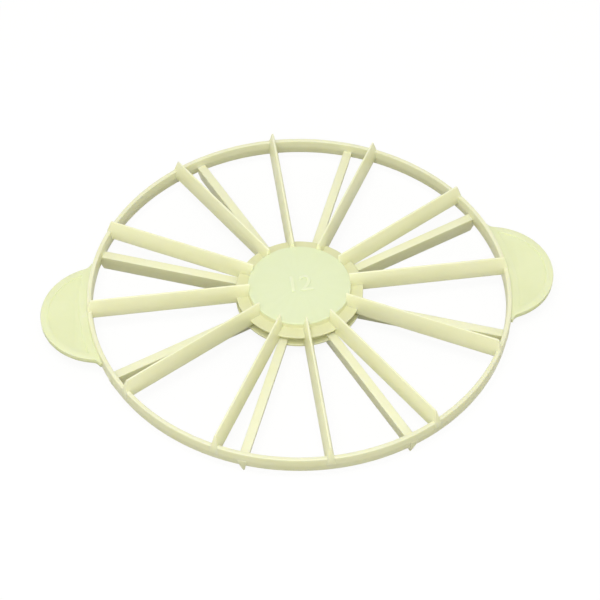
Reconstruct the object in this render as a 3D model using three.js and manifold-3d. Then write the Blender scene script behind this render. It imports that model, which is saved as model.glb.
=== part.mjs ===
// Double-sided cake portion marker: a round rim, a two-shell hub, wedge-shaped blades that mark twelve
// portions with the upper face and eight with the lower one, and two half-round handles.
// Millimetres, +Z up. The origin is on the axis, at the level of the lower marking edges.
import * as THREE from "three";
import { mergeVertices } from "three/addons/utils/BufferGeometryUtils.js";
import Module from "manifold-3d";

const wasm = await Module();
wasm.setup();

// Portions
const UPPER_PORTIONS = 12;
const LOWER_PORTIONS = 8;

// General fits and moulding draft
const CLEARANCE = 0.3;
const DRAFT_DEG = 6;
const EDGE_CHAMFER = 0.5;

// Rim ring, measured at the middle plane where the draft starts
const RIM_RADIUS = 130;
const RIM_THICKNESS = 3.6;
const RIM_HEIGHT = 10.4;

// Marking blades
const BLADE_HEIGHT = 13;
const BLADE_BASE_WIDTH = 5.6;
const BLADE_EDGE_WIDTH = 1;
const BLADE_END_SETBACK = 1.5;

// Blade tenons, which plug into the hub shells
const TENON_WIDTH = 3;
const TENON_HEIGHT = 2;

// Hub shells: a waist at the middle plane, a thin flange round it, and a core that stands up inside
const WAIST_RADIUS = 35;
const FLANGE_RADIUS = 39;
const FLANGE_HEIGHT = 8.4;
const FLANGE_PLATE = 1.4;
const CORE_RADIUS = 32.2;
const CORE_HEIGHT = 15.6;
const CORE_WALL = 3.2;
const CORE_PLATE = 1.8;
const BOSS_RADIUS = 5;
const BOSS_ENGAGEMENT = 2.4;
const SOCKET_WALL = 3;

// Handles
const HANDLE_REACH = 28.2;
const HANDLE_RADIUS = 37;
const HANDLE_THICKNESS = 3.8;
const HANDLE_BORDER = 4.5;
const HANDLE_PAD_DEPTH = 0.6;
const HANDLE_ROOT_RADIUS = 6;
const HANDLE_ROOT_LAND = 1.2;

// Handle tenons, which plug into the rim on both sides of the blade that crosses it there
const HANDLE_TENON_WIDTH = 12;
const HANDLE_TENON_HEIGHT = 2;
const HANDLE_TENON_DEG = 9;

// Facets
const RIM_SEGMENTS = 96;
const HUB_SEGMENTS = 48;
const ARC_SEGMENTS = 16;

const DRAFT = Math.tan(THREE.MathUtils.degToRad(DRAFT_DEG));
const HALF_CORE = CORE_HEIGHT / 2;
const HALF_FLANGE = FLANGE_HEIGHT / 2;
const FLANGE_UNDER = HALF_FLANGE - FLANGE_PLATE;
const HOLLOW_RADIUS = CORE_RADIUS - CORE_WALL;
const HALF_RIM = RIM_HEIGHT / 2;
const CUT_MARGIN = 2;

const ivory = new THREE.MeshStandardMaterial({ color: 0xeeebc8, roughness: 0.42, metalness: 0 });
const paleIvory = new THREE.MeshStandardMaterial({ color: 0xe9ecca, roughness: 0.5, metalness: 0 });

// Solids for cutting and joining

function toSolid(geometry) {
  const bare = geometry.clone();
  bare.deleteAttribute("normal");
  bare.deleteAttribute("uv");
  const merged = mergeVertices(bare, 1e-4);
  const vertProperties = new Float32Array(merged.getAttribute("position").array);
  const triVerts = new Uint32Array(merged.index.array);
  return new wasm.Manifold(new wasm.Mesh({ numProp: 3, vertProperties, triVerts }));
}

function toGeometry(solid) {
  const mesh = solid.getMesh();
  const geometry = new THREE.BufferGeometry();
  geometry.setAttribute("position", new THREE.BufferAttribute(mesh.vertProperties, 3));
  geometry.setIndex(new THREE.BufferAttribute(mesh.triVerts, 1));
  geometry.computeVertexNormals();
  return geometry;
}

function boxSolid(low, high) {
  const size = high.clone().sub(low);
  const middle = low.clone().add(high).multiplyScalar(0.5);
  const box = new THREE.BoxGeometry(size.x, size.y, size.z);
  return toSolid(box.translate(middle.x, middle.y, middle.z));
}

// A turned solid about Z from its [radius, height] outline, drawn anticlockwise in that half plane.
function turnedSolid(outline, segments) {
  const points = outline.map(([radius, height]) => new THREE.Vector2(radius, height));
  const lathe = new THREE.LatheGeometry(points, segments);
  return toSolid(lathe.rotateX(Math.PI / 2));
}

function turnedAboutAxis(solid, degrees) {
  return solid.rotate([0, 0, degrees]);
}

// Drafted outlines, widest at the middle plane

function rimOuterRadius(height) {
  return RIM_RADIUS - Math.abs(height) * DRAFT;
}

function rimInnerRadius(height) {
  return RIM_RADIUS - RIM_THICKNESS + Math.abs(height) * DRAFT;
}

function coreRadius(height) {
  return CORE_RADIUS - Math.abs(height) * DRAFT;
}

function bladeWidth(height) {
  const share = height / BLADE_HEIGHT;
  return THREE.MathUtils.lerp(BLADE_BASE_WIDTH, BLADE_EDGE_WIDTH, share);
}

function portionAngles(portions, offset) {
  const step = 360 / portions;
  return Array.from({ length: portions }, (_, index) => offset + index * step);
}

const upperAngles = portionAngles(UPPER_PORTIONS, 0);
const lowerAngles = portionAngles(LOWER_PORTIONS, 180 / LOWER_PORTIONS);

// Wedge with its base on the middle plane, tapering up to the marking edge. Its outline is in
// [radius, height], and extra widens it all along for the notch that it slides through.
function wedgeSolid(outline, extra) {
  const shape = new THREE.Shape(outline.map(([radius, height]) => new THREE.Vector2(radius, height)));
  const slab = new THREE.ExtrudeGeometry(shape, { depth: 1, bevelEnabled: false });
  slab.translate(0, 0, -0.5).rotateX(Math.PI / 2);
  const position = slab.getAttribute("position");
  for (let index = 0; index < position.count; index += 1) {
    const width = bladeWidth(position.getZ(index)) + extra;
    position.setY(index, position.getY(index) * width);
  }
  return toSolid(slab);
}

// Marking blade along +X with its tenon, in the pose of the upper face. Its inner end forks round
// the flange: the upper prong ends at the core and the lower one at the waist.

function bladeSolid() {
  const shoulder = HALF_FLANGE + CLEARANCE;
  const step = FLANGE_UNDER - CLEARANCE;
  const wedge = wedgeSolid(
    [
      [WAIST_RADIUS + CLEARANCE, 0],
      [rimOuterRadius(0), 0],
      [rimOuterRadius(HALF_RIM), HALF_RIM],
      [rimOuterRadius(BLADE_HEIGHT) - BLADE_END_SETBACK, BLADE_HEIGHT],
      [coreRadius(BLADE_HEIGHT) + CLEARANCE, BLADE_HEIGHT],
      [coreRadius(shoulder) + CLEARANCE, shoulder],
      [FLANGE_RADIUS + CLEARANCE, shoulder],
      [FLANGE_RADIUS + CLEARANCE, step],
      [WAIST_RADIUS + CLEARANCE, step],
    ],
    0,
  );
  const tenonRoot = WAIST_RADIUS + TENON_WIDTH;
  const tenon = boxSolid(
    new THREE.Vector3(HOLLOW_RADIUS, -TENON_WIDTH / 2, CLEARANCE),
    new THREE.Vector3(tenonRoot, TENON_WIDTH / 2, CLEARANCE + TENON_HEIGHT),
  );
  return wedge.add(tenon);
}

// Dovetail notch that a blade slides through on its way in from outside the rim

function rimNotch() {
  const inner = RIM_RADIUS - RIM_THICKNESS - CUT_MARGIN;
  const outer = RIM_RADIUS + CUT_MARGIN;
  const top = HALF_RIM + CUT_MARGIN;
  const outline = [
    [inner, 0],
    [outer, 0],
    [outer, top],
    [inner, top],
  ];
  return wedgeSolid(outline, 2 * CLEARANCE);
}

// Mortise slot in a hub shell wall for one blade tenon, open at the middle plane

function tenonSlot() {
  const halfWidth = TENON_WIDTH / 2 + CLEARANCE;
  return boxSolid(
    new THREE.Vector3(HOLLOW_RADIUS - CUT_MARGIN, -halfWidth, -CUT_MARGIN),
    new THREE.Vector3(WAIST_RADIUS + CUT_MARGIN, halfWidth, TENON_HEIGHT + 2 * CLEARANCE),
  );
}

// Handle tenons on +X from an inner distance out into the handle, with extra all round for their mortises

function handleTenons(inner, extra) {
  const halfWidth = HANDLE_TENON_WIDTH / 2 + extra;
  const halfHeight = HANDLE_TENON_HEIGHT / 2 + extra;
  const outer = RIM_RADIUS + HANDLE_BORDER / 2;
  return [HANDLE_TENON_DEG, -HANDLE_TENON_DEG].map((degrees) => {
    const low = new THREE.Vector3(inner, -halfWidth, -halfHeight);
    const high = new THREE.Vector3(outer, halfWidth, halfHeight);
    return turnedAboutAxis(boxSolid(low, high), degrees);
  });
}

// Rim ring

function rimSolid() {
  const top = HALF_RIM - EDGE_CHAMFER;
  const halfOutline = [
    [rimOuterRadius(0), 0],
    [rimOuterRadius(top), top],
    [rimOuterRadius(HALF_RIM) - EDGE_CHAMFER, HALF_RIM],
    [rimInnerRadius(HALF_RIM) + EDGE_CHAMFER, HALF_RIM],
    [rimInnerRadius(top), top],
    [rimInnerRadius(0), 0],
  ];
  const lowerHalf = halfOutline.slice(1, -1).map(([radius, height]) => [radius, -height]);
  const outline = [...halfOutline, ...lowerHalf.reverse(), halfOutline[0]];
  let rim = turnedSolid(outline, RIM_SEGMENTS);
  const notch = rimNotch();
  const lowerNotch = notch.rotate([180, 0, 0]);
  for (const degrees of upperAngles) {
    rim = rim.subtract(turnedAboutAxis(notch, degrees));
  }
  for (const degrees of lowerAngles) {
    rim = rim.subtract(turnedAboutAxis(lowerNotch, degrees));
  }
  for (const tenon of handleTenons(rimInnerRadius(0) - CUT_MARGIN, CLEARANCE)) {
    rim = rim.subtract(tenon);
    rim = rim.subtract(turnedAboutAxis(tenon, 180));
  }
  return rim;
}

// Hub shells, each a shallow cup whose core stands above the flange round it

function shellOutline(centre) {
  const plateUnder = HALF_CORE - CORE_PLATE;
  const coreEdge = HALF_CORE - EDGE_CHAMFER;
  const flangeEdge = HALF_FLANGE - EDGE_CHAMFER;
  return [
    ...centre(plateUnder),
    [HOLLOW_RADIUS, plateUnder],
    [HOLLOW_RADIUS, 0],
    [WAIST_RADIUS, 0],
    [WAIST_RADIUS, FLANGE_UNDER],
    [FLANGE_RADIUS, FLANGE_UNDER],
    [FLANGE_RADIUS, flangeEdge],
    [FLANGE_RADIUS - EDGE_CHAMFER, HALF_FLANGE],
    [coreRadius(HALF_FLANGE), HALF_FLANGE],
    [coreRadius(coreEdge), coreEdge],
    [coreRadius(HALF_CORE) - EDGE_CHAMFER, HALF_CORE],
    [0, HALF_CORE],
  ];
}

function slottedShell(outline, angles) {
  let shell = turnedSolid(outline, HUB_SEGMENTS);
  const slot = tenonSlot();
  for (const degrees of angles) {
    shell = shell.subtract(turnedAboutAxis(slot, degrees));
  }
  return shell;
}

function upperShellSolid() {
  const boss = (plateUnder) => [
    [0, -BOSS_ENGAGEMENT],
    [BOSS_RADIUS, -BOSS_ENGAGEMENT],
    [BOSS_RADIUS, plateUnder],
  ];
  return slottedShell(shellOutline(boss), upperAngles);
}

// Modelled with its core up, and turned over where it is placed.
function lowerShellSolid() {
  const boreRadius = BOSS_RADIUS + CLEARANCE;
  const boreFloor = BOSS_ENGAGEMENT + CLEARANCE;
  const socket = (plateUnder) => [
    [0, boreFloor],
    [boreRadius, boreFloor],
    [boreRadius, CLEARANCE],
    [boreRadius + SOCKET_WALL, CLEARANCE],
    [boreRadius + SOCKET_WALL, plateUnder],
  ];
  return slottedShell(shellOutline(socket), lowerAngles);
}

// Half-round handle on +X

const gripX = RIM_RADIUS + HANDLE_REACH - HANDLE_RADIUS;

// Point on the +Y side at the given distances from the rim's axis and from the centre of the grip.
function meetingPoint(fromAxis, fromGrip) {
  const x = (fromAxis ** 2 - fromGrip ** 2 + gripX ** 2) / (2 * gripX);
  return new THREE.Vector2(x, Math.sqrt(fromAxis ** 2 - x ** 2));
}

// Plan outline: an arc for the grip, a concave arc with a blunt end at each root, and the rim's curve.
function handleOutline() {
  const seat = RIM_RADIUS + CLEARANCE;
  const rootFromAxis = seat + HANDLE_ROOT_LAND + HANDLE_ROOT_RADIUS;
  const root = meetingPoint(rootFromAxis, HANDLE_RADIUS + HANDLE_ROOT_RADIUS);
  const gripTurn = Math.atan2(root.y, root.x - gripX);
  const seatTurn = Math.atan2(root.y, root.x);
  const shape = new THREE.Shape();
  shape.absarc(gripX, 0, HANDLE_RADIUS, -gripTurn, gripTurn, false);
  shape.absarc(root.x, root.y, HANDLE_ROOT_RADIUS, gripTurn + Math.PI, seatTurn + Math.PI, true);
  shape.absarc(0, 0, seat, seatTurn, -seatTurn, true);
  shape.absarc(root.x, -root.y, HANDLE_ROOT_RADIUS, Math.PI - seatTurn, Math.PI - gripTurn, true);
  return shape;
}

// Outline of the shallow finger pad, a border's width inside the grip and clear of the rim.
function padOutline() {
  const inner = RIM_RADIUS + HANDLE_BORDER;
  const outer = HANDLE_RADIUS - HANDLE_BORDER;
  const corner = meetingPoint(inner, outer);
  const outerTurn = Math.atan2(corner.y, corner.x - gripX);
  const innerTurn = Math.atan2(corner.y, corner.x);
  const shape = new THREE.Shape();
  shape.absarc(gripX, 0, outer, -outerTurn, outerTurn, false);
  shape.absarc(0, 0, inner, innerTurn, -innerTurn, true);
  return shape;
}

function padCut(floor) {
  const options = { depth: HANDLE_THICKNESS, bevelEnabled: false, curveSegments: ARC_SEGMENTS };
  return toSolid(new THREE.ExtrudeGeometry(padOutline(), options).translate(0, 0, floor));
}

function handleSolid() {
  const core = HANDLE_THICKNESS - 2 * EDGE_CHAMFER;
  const plate = new THREE.ExtrudeGeometry(handleOutline(), {
    depth: core,
    bevelEnabled: true,
    bevelThickness: EDGE_CHAMFER,
    bevelSize: EDGE_CHAMFER,
    bevelOffset: -EDGE_CHAMFER,
    bevelSegments: 1,
    curveSegments: ARC_SEGMENTS,
  });
  const padFloor = HANDLE_THICKNESS / 2 - HANDLE_PAD_DEPTH;
  const pad = padCut(padFloor);
  let handle = toSolid(plate.translate(0, 0, -core / 2));
  handle = handle.subtract(pad);
  handle = handle.subtract(pad.rotate([180, 0, 0]));
  for (const tenon of handleTenons(rimInnerRadius(0), 0)) {
    handle = handle.add(tenon);
  }
  return handle;
}

// Assembly, on the middle plane between the two sets of blades

const marker = new THREE.Group();
const middlePlane = new THREE.Group();
middlePlane.position.z = BLADE_HEIGHT;
marker.add(middlePlane);

function place(name, geometry, material, degrees, turnedOver) {
  const mesh = new THREE.Mesh(geometry, material.clone());
  mesh.name = name;
  const turn = new THREE.Group();
  turn.rotation.z = THREE.MathUtils.degToRad(degrees);
  mesh.rotation.x = turnedOver ? Math.PI : 0;
  turn.add(mesh);
  middlePlane.add(turn);
}

function numbered(name, index) {
  return `${name}_${String(index + 1).padStart(2, "0")}`;
}

place("rim_ring", toGeometry(rimSolid()), ivory, 0, false);
place("hub_upper_shell", toGeometry(upperShellSolid()), paleIvory, 0, false);
place("hub_lower_shell", toGeometry(lowerShellSolid()), paleIvory, 0, true);

const blade = toGeometry(bladeSolid());
upperAngles.forEach((degrees, index) => {
  place(numbered("upper_blade", index), blade, ivory, degrees, false);
});
lowerAngles.forEach((degrees, index) => {
  place(numbered("lower_blade", index), blade, ivory, degrees, true);
});

const handle = toGeometry(handleSolid());
place("handle_right", handle, ivory, 0, false);
place("handle_left", handle, ivory, 180, false);

export default marker;
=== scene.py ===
"""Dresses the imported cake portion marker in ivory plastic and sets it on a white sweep.

Everything is in metres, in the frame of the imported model: the axis of the rim is Z, the
handles lie along X and the lower marking edges touch the floor at z = 0.
"""

import logging
import math
from collections.abc import Callable, Sequence
from dataclasses import dataclass
from enum import Enum

import bmesh
import bpy
from mathutils import Matrix, Vector


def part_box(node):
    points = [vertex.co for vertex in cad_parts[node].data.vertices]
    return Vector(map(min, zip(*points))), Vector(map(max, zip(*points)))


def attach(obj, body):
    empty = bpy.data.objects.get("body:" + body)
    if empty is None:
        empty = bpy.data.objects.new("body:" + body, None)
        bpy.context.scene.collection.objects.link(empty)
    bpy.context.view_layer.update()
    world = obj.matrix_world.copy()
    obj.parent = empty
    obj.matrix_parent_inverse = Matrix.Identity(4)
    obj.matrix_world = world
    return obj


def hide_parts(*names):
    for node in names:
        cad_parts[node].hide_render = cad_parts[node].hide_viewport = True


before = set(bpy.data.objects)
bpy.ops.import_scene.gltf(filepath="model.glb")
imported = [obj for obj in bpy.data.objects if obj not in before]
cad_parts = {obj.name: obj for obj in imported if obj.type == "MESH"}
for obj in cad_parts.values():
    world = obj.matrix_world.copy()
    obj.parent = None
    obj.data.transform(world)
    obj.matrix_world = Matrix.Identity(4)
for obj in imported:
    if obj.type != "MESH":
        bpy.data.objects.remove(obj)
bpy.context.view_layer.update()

log = logging.getLogger("cake_marker")

MM = 0.001
DRAFT_DEG = 6
BODY = "root"
SAME_PLACE = 1e-6

Point = tuple[float, float]
Colour = tuple[float, float, float, float]
Socket = bpy.types.NodeSocket

WHITE: Colour = (1, 1, 1, 1)


class Face(Enum):
    """The two marking faces of the marker, with the way that each one looks along Z."""

    UPPER = 1
    LOWER = -1

    @property
    def word(self) -> str:
        """The face as it is called in the names of nodes and pieces."""
        return self.name.lower()


class Slot(Enum):
    """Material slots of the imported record."""

    BODY = "body_plastic"
    HUB = "hub_plastic"


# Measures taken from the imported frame


@dataclass(frozen=True)
class Measures:
    """Main sizes of the marker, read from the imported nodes.

    Heights of the rim, the hub, the blades and the handles are counted from the middle plane.
    """

    middle_z: float
    blade_height: float
    rim_radius: float
    rim_half_height: float
    flange_radius: float
    core_half_height: float
    handle_reach: float
    handle_half_thickness: float
    draft: float = math.tan(math.radians(DRAFT_DEG))

    @classmethod
    def from_frame(cls) -> "Measures":
        """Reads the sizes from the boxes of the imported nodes.

        Returns:
            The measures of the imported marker.
        """
        rim_low, rim_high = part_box("rim_ring")
        handle_low, handle_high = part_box("handle_right")
        middle_z = (rim_low.z + rim_high.z) / 2
        return cls(
            middle_z=middle_z,
            blade_height=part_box("upper_blade_01")[1].z - middle_z,
            rim_radius=rim_high.x,
            rim_half_height=rim_high.z - middle_z,
            flange_radius=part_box("hub_lower_shell")[1].x,
            core_half_height=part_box("hub_upper_shell")[1].z - middle_z,
            handle_reach=handle_high.x,
            handle_half_thickness=(handle_high.z - handle_low.z) / 2,
        )

    def rim_outer(self, height: float) -> float:
        """Outer radius of the drafted rim at a height from the middle plane."""
        return self.rim_radius - abs(height) * self.draft


# Work with Blender's own modelling operators


class Bench:
    """Modelling steps that the sub-assemblies share, made with Blender's mesh operators.

    Attributes:
        SUPPORT: Distance of the points that hold a turned corner, in widths of its rounding.
        LONG_SIDE: Length beyond which a side gets such points, in the same distances.
        TURNED_SEGMENTS: Facets across the rounding of a turned corner.
    """

    SUPPORT = 2
    LONG_SIDE = 3
    TURNED_SEGMENTS = 4

    @staticmethod
    def clear() -> None:
        """Leaves edit mode and deselects everything."""
        if bpy.context.object and bpy.context.object.mode != "OBJECT":
            bpy.ops.object.mode_set(mode="OBJECT")
        bpy.ops.object.select_all(action="DESELECT")

    @staticmethod
    def begin(name: str, start: Vector) -> bpy.types.Object:
        """Starts a mesh as one selected vertex, in edit mode.

        Args:
            name: Name of the new object.
            start: Place of the vertex.

        Returns:
            The new object, which sits at the origin.
        """
        Bench.clear()
        bpy.ops.mesh.primitive_plane_add(size=MM)
        piece = bpy.context.object
        piece.name = name
        piece.data.name = name
        bpy.ops.object.mode_set(mode="EDIT")
        bpy.ops.mesh.select_mode(type="VERT")
        bpy.ops.mesh.select_all(action="SELECT")
        bpy.ops.mesh.merge(type="CENTER")
        bpy.ops.transform.translate(value=start)
        return piece

    @staticmethod
    def draw(name: str, points: Sequence[Vector], closed: bool) -> bpy.types.Object:
        """Draws a line by extruding a vertex from point to point.

        Args:
            name: Name of the new object.
            points: Corners of the line, in order.
            closed: Whether the last point is joined to the first.

        Returns:
            The new object, in edit mode with everything selected.
        """
        piece = Bench.begin(name, points[0])
        for before, after in zip(points, points[1:]):
            Bench.extrude(after - before)
        if closed:
            Bench.pick(piece, lambda vert: vert.index in (0, len(points) - 1))
            bpy.ops.mesh.edge_face_add()
        bpy.ops.mesh.select_all(action="SELECT")
        return piece

    @staticmethod
    def pick(piece: bpy.types.Object, wanted: Callable[[bmesh.types.BMVert], bool]) -> None:
        """Selects vertices in edit mode, and the edges and faces between them.

        Args:
            piece: Object in edit mode.
            wanted: Test that a vertex has to pass.
        """
        bpy.ops.mesh.select_mode(type="VERT")
        bpy.ops.mesh.select_all(action="DESELECT")
        mesh = bmesh.from_edit_mesh(piece.data)
        mesh.verts.index_update()
        for vert in mesh.verts:
            vert.select_set(wanted(vert))
        mesh.select_flush(True)
        bmesh.update_edit_mesh(piece.data)

    @staticmethod
    def pick_faces(piece: bpy.types.Object, wanted: Callable[[bmesh.types.BMFace], bool]) -> None:
        """Selects faces in edit mode.

        Args:
            piece: Object in edit mode.
            wanted: Test that a face has to pass.
        """
        bpy.ops.mesh.select_mode(type="FACE")
        bpy.ops.mesh.select_all(action="DESELECT")
        mesh = bmesh.from_edit_mesh(piece.data)
        mesh.normal_update()
        for face in mesh.faces:
            face.select_set(wanted(face))
        mesh.select_flush_mode()
        bmesh.update_edit_mesh(piece.data)

    @staticmethod
    def extrude(offset: Vector) -> None:
        """Extrudes what is selected by an offset."""
        bpy.ops.mesh.extrude_region_move(TRANSFORM_OT_translate={"value": offset})

    @staticmethod
    def close_up() -> None:
        """Merges doubles, turns the faces outwards and leaves edit mode."""
        bpy.ops.mesh.select_all(action="SELECT")
        bpy.ops.mesh.remove_doubles(threshold=SAME_PLACE)
        bpy.ops.mesh.normals_make_consistent(inside=False)
        bpy.ops.object.mode_set(mode="OBJECT")

    @staticmethod
    def supported(outline: Sequence[Point], margin: float, closed: bool) -> list[Vector]:
        """Adds a point near both ends of each long side, which keeps the rounding at the corner.

        Args:
            outline: Radius and height of each corner.
            margin: Distance of the added points from the corners.
            closed: Whether the outline closes on itself.

        Returns:
            The corners and the added points, in order.
        """
        corners = [Vector((radius, 0, height)) for radius, height in outline]
        ends = corners[1:] + corners[: 1 if closed else 0]
        points = []
        for start, end in zip(corners, ends):
            points.append(start)
            run = end - start
            if run.length > Bench.LONG_SIDE * margin:
                step = run.normalized() * margin
                points += [start + step, end - step]
        return points if closed else points + corners[-1:]

    @staticmethod
    def turn(
        name: str, outline: Sequence[Point], closed: bool, steps: int, rounding: float
    ) -> bpy.types.Object:
        """Turns an outline once round the Z axis and rounds its corners.

        Args:
            name: Name of the new object.
            outline: Radius and height of each corner.
            closed: Whether the outline closes on itself, away from the axis.
            steps: Number of steps in the turn.
            rounding: Width of the rounding at the corners.

        Returns:
            The turned object, in object mode.
        """
        points = Bench.supported(outline, Bench.SUPPORT * rounding, closed)
        piece = Bench.draw(name, points, closed)
        bpy.ops.mesh.spin(steps=steps, angle=math.tau, center=(0, 0, 0), axis=(0, 0, 1))
        Bench.close_up()
        Bench.round_edges(piece, rounding, Bench.TURNED_SEGMENTS)
        return piece

    @staticmethod
    def plate(name: str, outline: Sequence[Vector], rise: Vector) -> bpy.types.Object:
        """Fills a closed outline and gives it a thickness.

        Args:
            name: Name of the new object.
            outline: Corners of the outline, in order.
            rise: Offset from the first side of the plate to the other.

        Returns:
            The plate, still in edit mode, with the new side selected.
        """
        piece = Bench.draw(name, outline, closed=True)
        bpy.ops.mesh.edge_face_add()
        Bench.extrude(rise)
        return piece

    @staticmethod
    def round_edges(
        piece: bpy.types.Object, width: float, segments: int, angle_deg: float = 30
    ) -> None:
        """Rounds every edge that is sharper than an angle.

        Args:
            piece: Object in object mode.
            width: Width of the rounding.
            segments: Facets across it.
            angle_deg: Least angle between two faces that counts as sharp.
        """
        Bench.activate(piece)
        rounding = piece.modifiers.new("rounding", "BEVEL")
        rounding.width = width
        rounding.segments = segments
        rounding.limit_method = "ANGLE"
        rounding.angle_limit = math.radians(angle_deg)
        bpy.ops.object.modifier_apply(modifier=rounding.name)

    @staticmethod
    def cut(piece: bpy.types.Object, tool: bpy.types.Object) -> None:
        """Cuts a tool's shape out of a piece and removes the tool.

        Args:
            piece: Object that is cut.
            tool: Closed object that is taken away from it.
        """
        Bench.activate(piece)
        cutting = piece.modifiers.new("cutting", "BOOLEAN")
        cutting.operation = "DIFFERENCE"
        cutting.solver = "EXACT"
        cutting.object = tool
        bpy.ops.object.modifier_apply(modifier=cutting.name)
        bpy.data.objects.remove(tool)

    @staticmethod
    def activate(piece: bpy.types.Object) -> None:
        """Makes one object the only selected one, and the active one.

        Args:
            piece: Object that the next operators work on.
        """
        Bench.clear()
        piece.select_set(True)
        bpy.context.view_layer.objects.active = piece

    @staticmethod
    def smooth(piece: bpy.types.Object, angle_deg: float = 35) -> None:
        """Shades an object smoothly, apart from edges sharper than an angle."""
        Bench.activate(piece)
        bpy.ops.object.shade_smooth_by_angle(angle=math.radians(angle_deg))

    @staticmethod
    def lift(piece: bpy.types.Object, height: float) -> None:
        """Moves an object up by a height and keeps its place in its mesh."""
        piece.data.transform(Matrix.Translation((0, 0, height)))

    @staticmethod
    def copy_turned(
        piece: bpy.types.Object, name: str, degrees: float, face: Face
    ) -> bpy.types.Object:
        """Copies a piece with its own mesh, turned over for the lower face and then about Z.

        Args:
            piece: Piece made for the upper face, along +X, about the middle plane.
            name: Name of the copy.
            degrees: Turn about Z.
            face: Marking face that the copy belongs to.

        Returns:
            The copy, which sits at the origin.
        """
        twin = piece.copy()
        twin.data = piece.data.copy()
        twin.name = name
        twin.data.name = name
        bpy.context.scene.collection.objects.link(twin)
        over = Matrix.Rotation(math.pi if face is Face.LOWER else 0, 4, "X")
        twin.data.transform(Matrix.Rotation(math.radians(degrees), 4, "Z") @ over)
        return twin


# Shader nodes, and the effects that the finishes share


class Nodes:
    """Short ways to add and join shader nodes in one node tree.

    Attributes:
        MIX_SHARE: Place of the share among the inputs of a Mix node.
        MIX_COLOURS: Places of the two colours there.
        MIX_RESULT: Place of the colour among its outputs.
    """

    MIX_SHARE = 0
    MIX_COLOURS = (6, 7)
    MIX_RESULT = 2

    def __init__(self, tree: bpy.types.NodeTree) -> None:
        """Keeps the tree that the nodes go into."""
        self.tree = tree

    def add(self, kind: str, **values: object) -> bpy.types.Node:
        """Adds a node and sets its properties.

        Args:
            kind: Blender's name of the node type.
            **values: Properties of the node.

        Returns:
            The new node.
        """
        node = self.tree.nodes.new(kind)
        for name, value in values.items():
            setattr(node, name, value)
        return node

    def join(self, source: Socket, target: Socket) -> None:
        """Links an output to an input."""
        self.tree.links.new(source, target)

    def feed(self, value: Socket | Colour | float, target: Socket) -> None:
        """Links an output to an input, or sets the input to a number or a colour.

        Args:
            value: Output, number or colour.
            target: Input that gets it.
        """
        if isinstance(value, Socket):
            self.join(value, target)
        else:
            target.default_value = value

    def noise(self, vector: Socket, scale: Socket | float, detail: float) -> Socket:
        """Adds a noise texture.

        Args:
            vector: Coordinates that the noise reads.
            scale: Size of its pattern, larger is finer.
            detail: Number of finer layers.

        Returns:
            The strength of the noise.
        """
        noise = self.add("ShaderNodeTexNoise")
        self.join(vector, noise.inputs["Vector"])
        self.feed(scale, noise.inputs["Scale"])
        noise.inputs["Detail"].default_value = detail
        return noise.outputs["Fac"]

    def ranged(self, value: Socket, source: Point, target: Point = (0, 1)) -> Socket:
        """Maps a value from one range to another.

        Args:
            value: Value to map.
            source: Lowest and highest value of the first range.
            target: What these become.

        Returns:
            The mapped value.
        """
        mapped = self.add("ShaderNodeMapRange", clamp=True)
        mapped.inputs["From Min"].default_value = source[0]
        mapped.inputs["From Max"].default_value = source[1]
        mapped.inputs["To Min"].default_value = target[0]
        mapped.inputs["To Max"].default_value = target[1]
        self.join(value, mapped.inputs["Value"])
        return mapped.outputs["Result"]

    def math(self, operation: str, first: Socket, second: Socket | float) -> Socket:
        """Works out one operation on two values.

        Args:
            operation: Blender's name of the operation.
            first: Value that it works on.
            second: Value or number that it works with.

        Returns:
            The result.
        """
        step = self.add("ShaderNodeMath", operation=operation)
        self.join(first, step.inputs[0])
        self.feed(second, step.inputs[1])
        return step.outputs["Value"]

    def blend(self, share: Socket, first: Socket | Colour, second: Colour) -> Socket:
        """Mixes two colours.

        Args:
            share: Share of the second colour.
            first: Colour at a share of zero.
            second: Colour at a share of one.

        Returns:
            The mixed colour.
        """
        mixer = self.add("ShaderNodeMix", data_type="RGBA")
        self.join(share, mixer.inputs[self.MIX_SHARE])
        for place, colour in zip(self.MIX_COLOURS, (first, second)):
            self.feed(colour, mixer.inputs[place])
        return mixer.outputs[self.MIX_RESULT]

    def layer(self, share: Socket | float, first: Socket, second: Socket) -> Socket:
        """Mixes two shaders.

        Args:
            share: Share of the second shader.
            first: Shader at a share of zero.
            second: Shader at a share of one.

        Returns:
            The mixed shader.
        """
        mixer = self.add("ShaderNodeMixShader")
        self.feed(share, mixer.inputs[0])
        self.join(first, mixer.inputs[1])
        self.join(second, mixer.inputs[2])
        return mixer.outputs[0]


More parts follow.
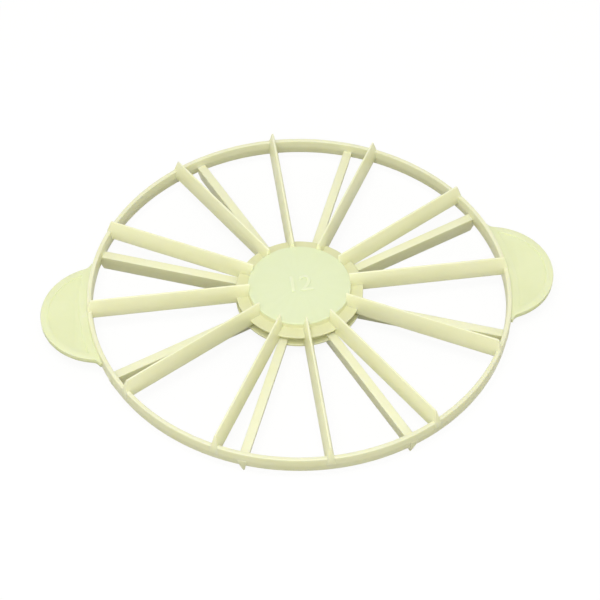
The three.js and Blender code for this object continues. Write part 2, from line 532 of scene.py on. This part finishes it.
class Effects:
    """Node groups that more than one finish uses, each built once.

    Attributes:
        GRAIN_DETAIL: Finer layers of the grain.
        CLOUD_SHARE: Scale of the uneven gloss, as a share of the grain's scale.
        CLOUD_DETAIL: Finer layers of the uneven gloss.
        CLOUD_RANGE: Noise at which the uneven gloss is least and most.
        STREAK_STRETCH: Stretch of the flow marks round the axis, away from it and in height.
        STREAK_SCALE: Fineness of the flow marks.
        STREAK_DETAIL: Finer layers of the flow marks.
        STREAK_RANGE: Noise at which the flow marks are least and most.
        BEND_RANGE: Bend of the surface at which the painted edge highlight starts and is full.
        RUB_SCALE: Fineness of the noise that makes the painted edge highlight uneven.
        RUB_DETAIL: Finer layers of that noise.
        RUB_RANGE: Noise at which the painted edge highlight is least and most.
        RUB_SHARE: How much of the painted edge highlight is left at both.
    """

    GRAIN_DETAIL = 3
    CLOUD_SHARE = 0.06
    CLOUD_DETAIL = 4
    CLOUD_RANGE = (0.3, 0.7)
    STREAK_STRETCH = {"X": 5, "Y": 26, "Z": 60}
    STREAK_SCALE = 1.4
    STREAK_DETAIL = 5
    STREAK_RANGE = (0.35, 0.68)
    BEND_RANGE = (0.51, 0.57)
    RUB_SCALE = 140
    RUB_DETAIL = 3
    RUB_RANGE = (0.3, 0.6)
    RUB_SHARE = (0.4, 1)

    @staticmethod
    def _group(name: str, inputs: Sequence[str], outputs: Sequence[str]) -> Nodes:
        """Starts a node group with named sockets for values.

        Args:
            name: Name of the group.
            inputs: Names of its inputs.
            outputs: Names of its outputs.

        Returns:
            A helper for the group's nodes.
        """
        tree = bpy.data.node_groups.new(name, "ShaderNodeTree")
        for side, labels in (("INPUT", inputs), ("OUTPUT", outputs)):
            for label in labels:
                tree.interface.new_socket(label, in_out=side, socket_type="NodeSocketFloat")
        return Nodes(tree)

    @staticmethod
    def moulded_grain() -> bpy.types.NodeTree:
        """Builds the fine satin grain of the mould's surface.

        Returns:
            Group with the input Scale and the outputs Height and Gloss.
        """
        name = "moulded_grain"
        if name in bpy.data.node_groups:
            return bpy.data.node_groups[name]
        nodes = Effects._group(name, ["Scale"], ["Height", "Gloss"])
        scale = nodes.add("NodeGroupInput").outputs["Scale"]
        leave = nodes.add("NodeGroupOutput")
        place = nodes.add("ShaderNodeTexCoord").outputs["Object"]
        fine = nodes.noise(place, scale, Effects.GRAIN_DETAIL)
        broad_scale = nodes.math("MULTIPLY", scale, Effects.CLOUD_SHARE)
        broad = nodes.noise(place, broad_scale, Effects.CLOUD_DETAIL)
        nodes.join(fine, leave.inputs["Height"])
        nodes.join(nodes.ranged(broad, Effects.CLOUD_RANGE), leave.inputs["Gloss"])
        return nodes.tree

    @staticmethod
    def flow_marks() -> bpy.types.NodeTree:
        """Builds the faint streaks that the plastic leaves as it runs out from the hub.

        Returns:
            Group with the output Streak.
        """
        name = "flow_marks"
        if name in bpy.data.node_groups:
            return bpy.data.node_groups[name]
        nodes = Effects._group(name, [], ["Streak"])
        leave = nodes.add("NodeGroupOutput")
        place = nodes.add("ShaderNodeTexCoord").outputs["Object"]
        apart = nodes.add("ShaderNodeSeparateXYZ")
        nodes.join(place, apart.inputs["Vector"])
        reach = nodes.add("ShaderNodeVectorMath", operation="LENGTH")
        nodes.join(place, reach.inputs[0])
        along = {
            "X": nodes.math("ARCTAN2", apart.outputs["Y"], apart.outputs["X"]),
            "Y": reach.outputs["Value"],
            "Z": apart.outputs["Z"],
        }
        polar = nodes.add("ShaderNodeCombineXYZ")
        for axis, stretch in Effects.STREAK_STRETCH.items():
            nodes.join(nodes.math("MULTIPLY", along[axis], stretch), polar.inputs[axis])
        vector = polar.outputs["Vector"]
        streak = nodes.noise(vector, Effects.STREAK_SCALE, Effects.STREAK_DETAIL)
        nodes.join(nodes.ranged(streak, Effects.STREAK_RANGE), leave.inputs["Streak"])
        return nodes.tree

    @staticmethod
    def handled_edges() -> bpy.types.NodeTree:
        """Builds the mask of the painted edge highlight, a paler tone on convex edges that stands
        in for light caught by them.

        Returns:
            Group with the output Edge.
        """
        name = "handled_edges"
        if name in bpy.data.node_groups:
            return bpy.data.node_groups[name]
        nodes = Effects._group(name, [], ["Edge"])
        leave = nodes.add("NodeGroupOutput")
        # Painted highlight: convex edges, found by their pointiness, are masked for a paler tone,
        # made uneven by noise.
        bend = nodes.add("ShaderNodeNewGeometry").outputs["Pointiness"]
        place = nodes.add("ShaderNodeTexCoord").outputs["Object"]
        uneven = nodes.noise(place, Effects.RUB_SCALE, Effects.RUB_DETAIL)
        share = nodes.ranged(uneven, Effects.RUB_RANGE, Effects.RUB_SHARE)
        highlighted = nodes.math("MULTIPLY", nodes.ranged(bend, Effects.BEND_RANGE), share)
        nodes.join(highlighted, leave.inputs["Edge"])
        return nodes.tree


# Finishes

# Curve from display values to linear ones, above its straight start near black
DISPLAY_FULL = 255
DISPLAY_OFFSET = 0.055
DISPLAY_POWER = 2.4


def ivory(red: int, green: int, blue: int) -> Colour:
    """Turns the eight-bit display values of a pale colour into a shader's linear values.

    Args:
        red: Red, 0 to 255.
        green: Green, 0 to 255.
        blue: Blue, 0 to 255.

    Returns:
        The linear colour, opaque.
    """
    raised = [value / DISPLAY_FULL + DISPLAY_OFFSET for value in (red, green, blue)]
    return (*((share / (1 + DISPLAY_OFFSET)) ** DISPLAY_POWER for share in raised), 1)


@dataclass(frozen=True)
class PlasticFinish:
    """Satin moulded plastic, with a tone that drifts along its flow marks and a painted highlight
    on its convex edges.
    """

    name: str
    tone: Colour
    deep_tone: Colour
    edge_tone: Colour
    roughness: Point = (0.34, 0.48)
    grain_scale: float = 2600
    grain_depth: float = 0.00002
    grain_strength: float = 0.35
    flow_share: float = 0.6
    edge_share: float = 0.55
    ior: float = 1.49
    subsurface: float = 0.3
    subsurface_radius: tuple[float, float, float] = (1, 0.9, 0.45)
    subsurface_depth: float = 0.003

    def material(self) -> bpy.types.Material:
        """Builds the finish's material, or finds the one that was built.

        Returns:
            The material.
        """
        if self.name in bpy.data.materials:
            return bpy.data.materials[self.name]
        material = bpy.data.materials.new(self.name)
        material.use_nodes = True
        nodes = Nodes(material.node_tree)
        shader = material.node_tree.nodes["Principled BSDF"]
        flow = nodes.add("ShaderNodeGroup", node_tree=Effects.flow_marks())
        # Mask of the painted edge highlight.
        edges = nodes.add("ShaderNodeGroup", node_tree=Effects.handled_edges())
        grain = nodes.add("ShaderNodeGroup", node_tree=Effects.moulded_grain())
        grain.inputs["Scale"].default_value = self.grain_scale
        tone = self._tone(nodes, flow.outputs["Streak"], edges.outputs["Edge"])
        nodes.join(tone, shader.inputs["Base Color"])
        gloss = nodes.ranged(grain.outputs["Gloss"], (0, 1), self.roughness)
        nodes.join(gloss, shader.inputs["Roughness"])
        bump = nodes.add("ShaderNodeBump")
        bump.inputs["Strength"].default_value = self.grain_strength
        bump.inputs["Distance"].default_value = self.grain_depth
        nodes.join(grain.outputs["Height"], bump.inputs["Height"])
        nodes.join(bump.outputs["Normal"], shader.inputs["Normal"])
        shader.inputs["IOR"].default_value = self.ior
        shader.inputs["Subsurface Weight"].default_value = self.subsurface
        shader.inputs["Subsurface Radius"].default_value = self.subsurface_radius
        shader.inputs["Subsurface Scale"].default_value = self.subsurface_depth
        return material

    def _tone(self, nodes: Nodes, streak: Socket, edge: Socket) -> Socket:
        """Mixes the plastic's tones over its flow marks, then paints a paler tone onto its convex
        edges as a highlight.

        Args:
            nodes: Helper for the material's nodes.
            streak: Strength of the flow marks.
            edge: Mask of the painted edge highlight.

        Returns:
            The colour.
        """
        drift = nodes.math("MULTIPLY", streak, self.flow_share)
        plain = nodes.blend(drift, self.tone, self.deep_tone)
        # Painted highlight: the edge mask mixes in the paler edge tone.
        highlighted = nodes.math("MULTIPLY", edge, self.edge_share)
        return nodes.blend(highlighted, plain, self.edge_tone)

    def dress(self, piece: bpy.types.Object) -> None:
        """Gives a piece this finish all over."""
        piece.data.materials.clear()
        piece.data.materials.append(self.material())


RIM_FINISH = PlasticFinish(
    name="ivory_rim",
    tone=ivory(236, 236, 207),
    deep_tone=ivory(230, 230, 196),
    edge_tone=ivory(245, 244, 222),
)
# Painted shade: the hub ring's tone is darker than the rim and the blades, standing in for the
# shade in the groove under the flange and on the core wall.
SHADED_FLANGE_FINISH = PlasticFinish(
    name="ivory_flange",
    tone=ivory(229, 229, 189),
    deep_tone=ivory(222, 222, 177),
    edge_tone=ivory(238, 238, 206),
)
BLADE_FINISH = PlasticFinish(
    name="ivory_blade",
    tone=ivory(243, 243, 210),
    deep_tone=ivory(237, 237, 198),
    edge_tone=ivory(246, 246, 219),
)
# Painted shade: the handles' edge tone is greyer than their plastic and mixed in at a high share,
# standing in for the shading along the rounded border.
HANDLE_FINISH = PlasticFinish(
    name="ivory_handle",
    tone=ivory(231, 236, 195),
    deep_tone=ivory(225, 231, 184),
    edge_tone=ivory(232, 234, 208),
    roughness=(0.4, 0.55),
    grain_scale=1900,
    grain_depth=0.00003,
    edge_share=0.8,
)
HUB_FINISH = PlasticFinish(
    name="ivory_hub",
    tone=ivory(230, 239, 199),
    deep_tone=ivory(225, 234, 190),
    edge_tone=ivory(241, 244, 217),
    roughness=(0.42, 0.56),
    flow_share=0.25,
)
NUMBER_FINISH = PlasticFinish(
    name="ivory_number",
    tone=ivory(235, 242, 205),
    deep_tone=ivory(230, 238, 196),
    edge_tone=ivory(242, 246, 217),
    roughness=(0.25, 0.36),
)


def fit(piece: bpy.types.Object, finish: PlasticFinish, slot: Slot, *nodes: str) -> None:
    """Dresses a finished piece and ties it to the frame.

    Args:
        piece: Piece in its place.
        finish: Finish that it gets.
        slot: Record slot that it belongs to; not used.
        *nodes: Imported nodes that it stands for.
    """
    Bench.smooth(piece)
    finish.dress(piece)
    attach(piece, BODY)
    if nodes:
        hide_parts(*nodes)
    log.info("%s: %d faces", piece.name, len(piece.data.polygons))


# Sub-assemblies


@dataclass
class RimRing:
    """Thin ring round the blades, drafted both ways from the parting line at its middle."""

    measures: Measures
    thickness: float = 3.6 * MM
    rounding: float = 0.6 * MM
    steps: int = 288

    def build(self) -> None:
        """Models the ring and dresses it."""
        half = self.measures.rim_half_height
        lean = half * self.measures.draft
        outer = self.measures.rim_radius
        inner = outer - self.thickness
        outline = [
            (outer, 0),
            (outer - lean, half),
            (inner + lean, half),
            (inner, 0),
            (inner + lean, -half),
            (outer - lean, -half),
        ]
        ring = Bench.turn("rim", outline, closed=True, steps=self.steps, rounding=self.rounding)
        Bench.lift(ring, self.measures.middle_z)
        fit(ring, RIM_FINISH, Slot.BODY, "rim_ring")


@dataclass
class Hub:
    """Two shallow shells back to back, each a waist with a thin flange round a raised core."""

    measures: Measures
    waist_radius: float = 35 * MM
    flange_half_height: float = 4.2 * MM
    flange_plate: float = 1.4 * MM
    core_radius: float = 32.2 * MM
    core_wall: float = 3.2 * MM
    disc_edge: float = 1.1 * MM
    rounding: float = 0.4 * MM
    steps: int = 192
    number_height: float = 17 * MM
    number_rise: float = 0.5 * MM
    number_bevel_share: float = 1 / 3
    number_bevel_steps: int = 2

    def core_outer(self, height: float) -> float:
        """Outer radius of the drafted core at a height from the middle plane."""
        return self.core_radius - abs(height) * self.measures.draft

    def turned(self, name: str, outline: Sequence[Point], closed: bool) -> bpy.types.Object:
        """Turns an outline with the hub's steps and rounding."""
        return Bench.turn(name, outline, closed, self.steps, self.rounding)

    def ring(self) -> bpy.types.Object:
        """Models the upper shell's waist, flange and core wall about the middle plane.

        Returns:
            The ring, open inside and under the disc.
        """
        flange = self.measures.flange_radius
        top = self.flange_half_height
        under = top - self.flange_plate
        seat = self.measures.core_half_height - self.disc_edge
        hollow = self.core_radius - self.core_wall
        outline = [
            (hollow, 0),
            (self.waist_radius, 0),
            (self.waist_radius, under),
            (flange, under),
            (flange, top),
            (self.core_outer(top), top),
            (self.core_outer(seat), seat),
            (hollow, seat),
        ]
        return self.turned("hub_ring", outline, closed=True)

    def disc(self) -> bpy.types.Object:
        """Models the flat disc that closes the core of the upper shell, about the middle plane.

        Returns:
            The disc.
        """
        top = self.measures.core_half_height
        seat = top - self.disc_edge
        edge = self.core_outer(top)
        outline = [(0, seat), (edge, seat), (edge, top), (0, top)]
        return self.turned("hub_disc", outline, closed=False)

    def number(self, portions: int, face: Face) -> bpy.types.Object:
        """Models the plain number of portions, raised on the core.

        Args:
            portions: Number to show.
            face: Marking face that it is read from.

        Returns:
            The number, about the middle plane.
        """
        Bench.clear()
        bpy.ops.object.text_add()
        text = bpy.context.object
        text.data.body = str(portions)
        text.data.align_x = "CENTER"
        text.data.align_y = "CENTER"
        text.data.size = self.number_height
        text.data.extrude = self.number_rise
        text.data.bevel_depth = self.number_rise * self.number_bevel_share
        text.data.bevel_resolution = self.number_bevel_steps
        bpy.ops.object.convert(target="MESH")
        number = bpy.context.object
        number.name = f"number_{face.word}"
        bpy.ops.object.mode_set(mode="EDIT")
        Bench.close_up()
        Bench.lift(number, self.measures.core_half_height)
        if face is Face.LOWER:
            number.data.transform(Matrix.Rotation(math.pi, 4, "X"))
        return number

    def build(self, portions: dict[Face, int]) -> None:
        """Models both shells with their numbers and dresses them.

        Args:
            portions: Number of portions that each face marks.
        """
        ring = self.ring()
        disc = self.disc()
        for face, count in portions.items():
            shell = f"hub_{face.word}_shell"
            flange = Bench.copy_turned(ring, f"hub_{face.word}_ring", 0, face)
            centre = Bench.copy_turned(disc, f"hub_{face.word}_disc", 0, face)
            number = self.number(count, face)
            for piece in (flange, centre, number):
                Bench.lift(piece, self.measures.middle_z)
            # The ring gets the darker finish that paints shade into the groove and onto the core
            # wall.
            fit(flange, SHADED_FLANGE_FINISH, Slot.HUB, shell)
            fit(centre, HUB_FINISH, Slot.HUB, shell)
            fit(number, NUMBER_FINISH, Slot.HUB)
        bpy.data.objects.remove(ring)
        bpy.data.objects.remove(disc)


@dataclass
class Blades:
    """Wedge blades from the hub to the rim, with the marking edge away from the middle plane."""

    measures: Measures
    hub: Hub
    base_width: float = 5.6 * MM
    edge_width: float = 1.0 * MM
    end_setback: float = 1.5 * MM
    hub_sink: float = 0.4 * MM
    rim_proud: float = 0.15 * MM
    tenon_inset: float = 0.9 * MM
    tenon_length: float = 5 * MM
    end_normal_x: float = -0.9
    rounding: float = 0.32 * MM
    segments: int = 3

    def width(self, height: float) -> float:
        """Width of the wedge at a height from its base."""
        share = height / self.measures.blade_height
        return self.base_width + (self.edge_width - self.base_width) * share

    def wedge(self) -> bpy.types.Object:
        """Models one blade along +X, with its base on the middle plane.

        Returns:
            The blade.
        """
        height = self.measures.blade_height
        rim_top = self.measures.rim_half_height
        shoulder = self.hub.flange_half_height - self.hub_sink
        outline = [
            (self.hub.waist_radius - self.hub_sink, 0),
            (self.measures.rim_outer(0) + self.rim_proud, 0),
            (self.measures.rim_outer(rim_top) + self.rim_proud, rim_top),
            (self.measures.rim_outer(height) - self.end_setback, height),
            (self.hub.core_outer(height) - self.hub_sink, height),
            (self.hub.core_outer(shoulder) - self.hub_sink, shoulder),
            (self.hub.waist_radius - self.hub_sink, shoulder),
        ]
        half_base = self.base_width / 2
        corners = [Vector((radius, -half_base, z)) for radius, z in outline]
        blade = Bench.plate("blade", corners, Vector((0, self.base_width, 0)))
        for level in (shoulder, rim_top, height):
            Bench.pick(blade, lambda vert, z=level: abs(vert.co.z - z) < SAME_PLACE)
            narrowing = (1, self.width(level) / self.base_width, 1)
            bpy.ops.transform.resize(value=narrowing, center_override=(0, 0, 0))
        Bench.close_up()
        Bench.round_edges(blade, self.rounding, self.segments)
        self.add_tenon(blade, shoulder)
        return blade

    def add_tenon(self, blade: bpy.types.Object, shoulder: float) -> None:
        """Draws the tenon out of the blade's inner end.

        Args:
            blade: Blade in object mode.
            shoulder: Height of the shoulder that laps over the hub.
        """
        Bench.activate(blade)
        bpy.ops.object.mode_set(mode="EDIT")
        top = shoulder / 2 + self.rounding
        Bench.pick_faces(
            blade,
            lambda face: face.normal.x < self.end_normal_x and face.calc_center_median().z < top,
        )
        bpy.ops.mesh.inset(thickness=self.tenon_inset)
        Bench.extrude(Vector((-self.tenon_length, 0, 0)))
        Bench.close_up()

    def build(self, portions: dict[Face, int]) -> None:
        """Models one blade, copies it round both faces and dresses the copies.

        Args:
            portions: Number of portions that each face marks.
        """
        blade = self.wedge()
        for face, count in portions.items():
            step = 360 / count
            start = 0 if face is Face.UPPER else step / 2
            for index in range(count):
                node = f"{face.word}_blade_{index + 1:02d}"
                twin = Bench.copy_turned(blade, f"marking_{node}", start + index * step, face)
                Bench.lift(twin, self.measures.middle_z)
                fit(twin, BLADE_FINISH, Slot.BODY, node)
        bpy.data.objects.remove(blade)


@dataclass
class Handles:
    """Half-round handles with a shallow pad inside a low border."""

    measures: Measures
    grip_radius: float = 37 * MM
    root_radius: float = 6 * MM
    root_land: float = 1.2 * MM
    rim_sink: float = 0.6 * MM
    border: float = 4.5 * MM
    pad_depth: float = 0.6 * MM
    rounding: float = 0.5 * MM
    segments: int = 3
    pad_rounding: float = 0.22 * MM
    pad_segments: int = 2
    sharp_deg: float = 60
    grip_steps: int = 40
    seat_steps: int = 20
    root_steps: int = 10

    @property
    def grip_x(self) -> float:
        """Distance of the grip arc's centre from the axis."""
        return self.measures.handle_reach - self.grip_radius

    def meeting_point(self, from_axis: float, from_grip: float) -> Vector:
        """Finds the point on the +Y side at two distances.

        Args:
            from_axis: Distance from the rim's axis.
            from_grip: Distance from the centre of the grip arc.

        Returns:
            The point, in plan.
        """
        x = (from_axis**2 - from_grip**2 + self.grip_x**2) / (2 * self.grip_x)
        return Vector((x, math.sqrt(from_axis**2 - x**2)))

    @staticmethod
    def arc(centre: Vector, radius: float, turns: Point, steps: int) -> list[Vector]:
        """Lists points along an arc in plan, both ends included.

        Args:
            centre: Centre of the arc.
            radius: Radius of the arc.
            turns: Angles of the first and the last point.
            steps: Number of stretches.

        Returns:
            The points.
        """
        start, end = turns
        angles = [start + (end - start) * index / steps for index in range(steps + 1)]
        return [centre + radius * Vector((math.cos(angle), math.sin(angle))) for angle in angles]

    def outline(self) -> list[Vector]:
        """Lists the handle's plan outline, with a small concave arc at each root.

        Returns:
            The points, anticlockwise.
        """
        seat = self.measures.rim_radius - self.rim_sink
        grip = Vector((self.grip_x, 0))
        axis = Vector((0, 0))
        root = self.meeting_point(
            self.measures.rim_radius + self.root_land + self.root_radius,
            self.grip_radius + self.root_radius,
        )
        mirrored = Vector((root.x, -root.y))
        grip_turn = math.atan2(root.y, root.x - self.grip_x)
        seat_turn = math.atan2(root.y, root.x)
        root_turns = (math.pi + grip_turn, math.pi + seat_turn)
        mirrored_turns = (math.pi - seat_turn, math.pi - grip_turn)
        points = self.arc(grip, self.grip_radius, (-grip_turn, grip_turn), self.grip_steps)
        points += self.arc(root, self.root_radius, root_turns, self.root_steps)[1:]
        points += self.arc(axis, seat, (seat_turn, -seat_turn), self.seat_steps)
        points += self.arc(mirrored, self.root_radius, mirrored_turns, self.root_steps)[:-1]
        return points

    def pad_outline(self) -> list[Vector]:
        """Lists the plan outline of the pad, a border's width inside the handle.

        Returns:
            The points, anticlockwise.
        """
        inner = self.measures.rim_radius + self.border
        outer = self.grip_radius - self.border
        grip = Vector((self.grip_x, 0))
        axis = Vector((0, 0))
        corner = self.meeting_point(inner, outer)
        outer_turn = math.atan2(corner.y, corner.x - self.grip_x)
        inner_turn = math.atan2(corner.y, corner.x)
        points = self.arc(grip, outer, (-outer_turn, outer_turn), self.grip_steps)
        points += self.arc(axis, inner, (inner_turn, -inner_turn), self.seat_steps)[1:-1]
        return points

    def handle(self) -> bpy.types.Object:
        """Models the handle on +X about the middle plane.

        Returns:
            The handle.
        """
        half = self.measures.handle_half_thickness
        low = [Vector((point.x, point.y, -half)) for point in self.outline()]
        handle = Bench.plate("handle", low, Vector((0, 0, 2 * half)))
        Bench.close_up()
        Bench.round_edges(handle, self.rounding, self.segments, self.sharp_deg)
        for face in Face:
            floor = (half - self.pad_depth) * face.value
            rim = [Vector((point.x, point.y, floor)) for point in self.pad_outline()]
            tool = Bench.plate("pad_tool", rim, Vector((0, 0, half * face.value)))
            Bench.close_up()
            Bench.cut(handle, tool)
        Bench.round_edges(handle, self.pad_rounding, self.pad_segments, self.sharp_deg)
        return handle

    def build(self) -> None:
        """Models one handle, copies it to both sides and dresses the copies."""
        handle = self.handle()
        for node, degrees in (("handle_right", 0), ("handle_left", 180)):
            twin = Bench.copy_turned(handle, f"grip_{node}", degrees, Face.UPPER)
            Bench.lift(twin, self.measures.middle_z)
            fit(twin, HANDLE_FINISH, Slot.BODY, node)
        bpy.data.objects.remove(handle)


# Studio


@dataclass
class Studio:
    """White sweep, soft lights and the camera."""

    measures: Measures
    camera_distance: float = 1.105
    camera_azimuth_deg: float = -7.925
    camera_elevation_deg: float = 49.3
    camera_lens: float = 108.09
    camera_shift: Point = (0.001, -0.01205)
    floor_size: float = 6
    paper_tone: Colour = (0.9, 0.9, 0.9, 1)
    paper_roughness: float = 0.9
    floor_glow: float = 1.02
    floor_glow_share: float = 0.9
    floor_bounce: Colour = (0.22, 0.215, 0.09, 1)
    wall_light: Colour = (1.34, 1.33, 1.1, 1)
    ceiling_light: Colour = (0.2, 0.2, 0.22, 1)
    key_strength: float = 12.6
    key_size: float = 0.9
    key_distance: float = 1.5
    key_azimuth_deg: float = -20
    key_elevation_deg: float = 68

    def build(self) -> None:
        """Sets up the floor, the lights, the world, the camera and the view transform."""
        bpy.context.scene.view_settings.view_transform = "Standard"
        self.make_floor()
        self.make_world()
        self.make_lights()
        self.make_camera()

    def make_floor(self) -> None:
        """Lays a wide white floor that shows a faint shadow of the marker."""
        Bench.clear()
        bpy.ops.mesh.primitive_plane_add(size=self.floor_size)
        floor = bpy.context.object
        floor.name = "floor"
        floor.data.materials.append(self.floor_material())

    def floor_material(self) -> bpy.types.Material:
        """Builds white paper that shows a faint shadow and throws little light back at the marker.

        Returns:
            The material.
        """
        material = bpy.data.materials.new("white_paper")
        material.use_nodes = True
        nodes = Nodes(material.node_tree)
        paper = material.node_tree.nodes["Principled BSDF"]
        paper.inputs["Base Color"].default_value = self.paper_tone
        paper.inputs["Roughness"].default_value = self.paper_roughness
        paper.inputs["Specular IOR Level"].default_value = 0
        dull = nodes.add("ShaderNodeBsdfDiffuse")
        dull.inputs["Color"].default_value = self.floor_bounce
        glow = nodes.add("ShaderNodeEmission")
        glow.inputs["Strength"].default_value = self.floor_glow
        white = nodes.layer(self.floor_glow_share, paper.outputs[0], glow.outputs[0])
        surface = nodes.layer(self.seen_directly(nodes), dull.outputs[0], white)
        nodes.join(surface, material.node_tree.nodes["Material Output"].inputs["Surface"])
        return material

    @staticmethod
    def seen_directly(nodes: Nodes) -> Socket:
        """Tells the rays that see a surface, also mirrored or through glass, from those of light.

        Args:
            nodes: Helper for the nodes of the material or world.

        Returns:
            One for a ray that sees the surface, and zero for one that carries its light.
        """
        path = nodes.add("ShaderNodeLightPath").outputs
        mirrored = nodes.math("MAXIMUM", path["Is Glossy Ray"], path["Is Transmission Ray"])
        return nodes.math("MAXIMUM", path["Is Camera Ray"], mirrored)

    def make_world(self) -> None:
        """Lights the room more from its walls than from above, and shows white behind the floor."""
        world = bpy.data.worlds.new("room")
        world.use_nodes = True
        nodes = Nodes(world.node_tree)
        apart = nodes.add("ShaderNodeSeparateXYZ")
        nodes.join(nodes.add("ShaderNodeTexCoord").outputs["Generated"], apart.inputs["Vector"])
        tint = nodes.blend(apart.outputs["Z"], self.wall_light, self.ceiling_light)
        room = world.node_tree.nodes["Background"]
        nodes.join(tint, room.inputs["Color"])
        white = nodes.add("ShaderNodeBackground")
        white.inputs["Color"].default_value = WHITE
        sky = nodes.layer(self.seen_directly(nodes), room.outputs[0], white.outputs[0])
        nodes.join(sky, world.node_tree.nodes["World Output"].inputs["Surface"])
        bpy.context.scene.world = world

    @staticmethod
    def bearing(azimuth_deg: float, elevation_deg: float) -> Vector:
        """Gives the direction out of the marker towards a place in the studio.

        Args:
            azimuth_deg: Turn from the front, to the right.
            elevation_deg: Angle above the floor.

        Returns:
            The direction, of length one.
        """
        azimuth = math.radians(azimuth_deg)
        elevation = math.radians(elevation_deg)
        level = math.cos(elevation)
        return Vector((math.sin(azimuth) * level, -math.cos(azimuth) * level, math.sin(elevation)))

    def make_lights(self) -> None:
        """Hangs a soft lamp above the marker, to the front and to the left."""
        Bench.clear()
        towards = self.bearing(self.key_azimuth_deg, self.key_elevation_deg)
        bpy.ops.object.light_add(type="AREA", location=towards * self.key_distance)
        lamp = bpy.context.object
        lamp.name = "overhead_softbox"
        lamp.data.shape = "SQUARE"
        lamp.data.size = self.key_size
        lamp.data.energy = self.key_strength
        lamp.rotation_euler = (-towards).to_track_quat("-Z", "Y").to_euler()

    def make_camera(self) -> None:
        """Puts the camera at the photograph's angle."""
        towards = self.bearing(self.camera_azimuth_deg, self.camera_elevation_deg)
        target = Vector((0, 0, self.measures.middle_z))
        Bench.clear()
        bpy.ops.object.camera_add(location=target + towards * self.camera_distance)
        camera = bpy.context.object
        camera.name = "photo_camera"
        camera.rotation_euler = (-towards).to_track_quat("-Z", "Y").to_euler()
        camera.data.lens = self.camera_lens
        camera.data.shift_x, camera.data.shift_y = self.camera_shift
        bpy.context.scene.camera = camera


def count_portions() -> dict[Face, int]:
    """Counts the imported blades.

    Returns:
        Number of portions that each face marks.
    """
    names = list(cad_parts)
    return {face: sum(name.startswith(f"{face.word}_blade") for name in names) for face in Face}


def main() -> None:
    """Builds and dresses the marker, then its studio."""
    logging.basicConfig(level=logging.INFO, format="%(name)s %(message)s")
    measures = Measures.from_frame()
    portions = count_portions()
    RimRing(measures).build()
    hub = Hub(measures)
    hub.build(portions)
    Blades(measures, hub).build(portions)
    Handles(measures).build()
    Studio(measures).build()


if __name__ == "__main__":
    main()
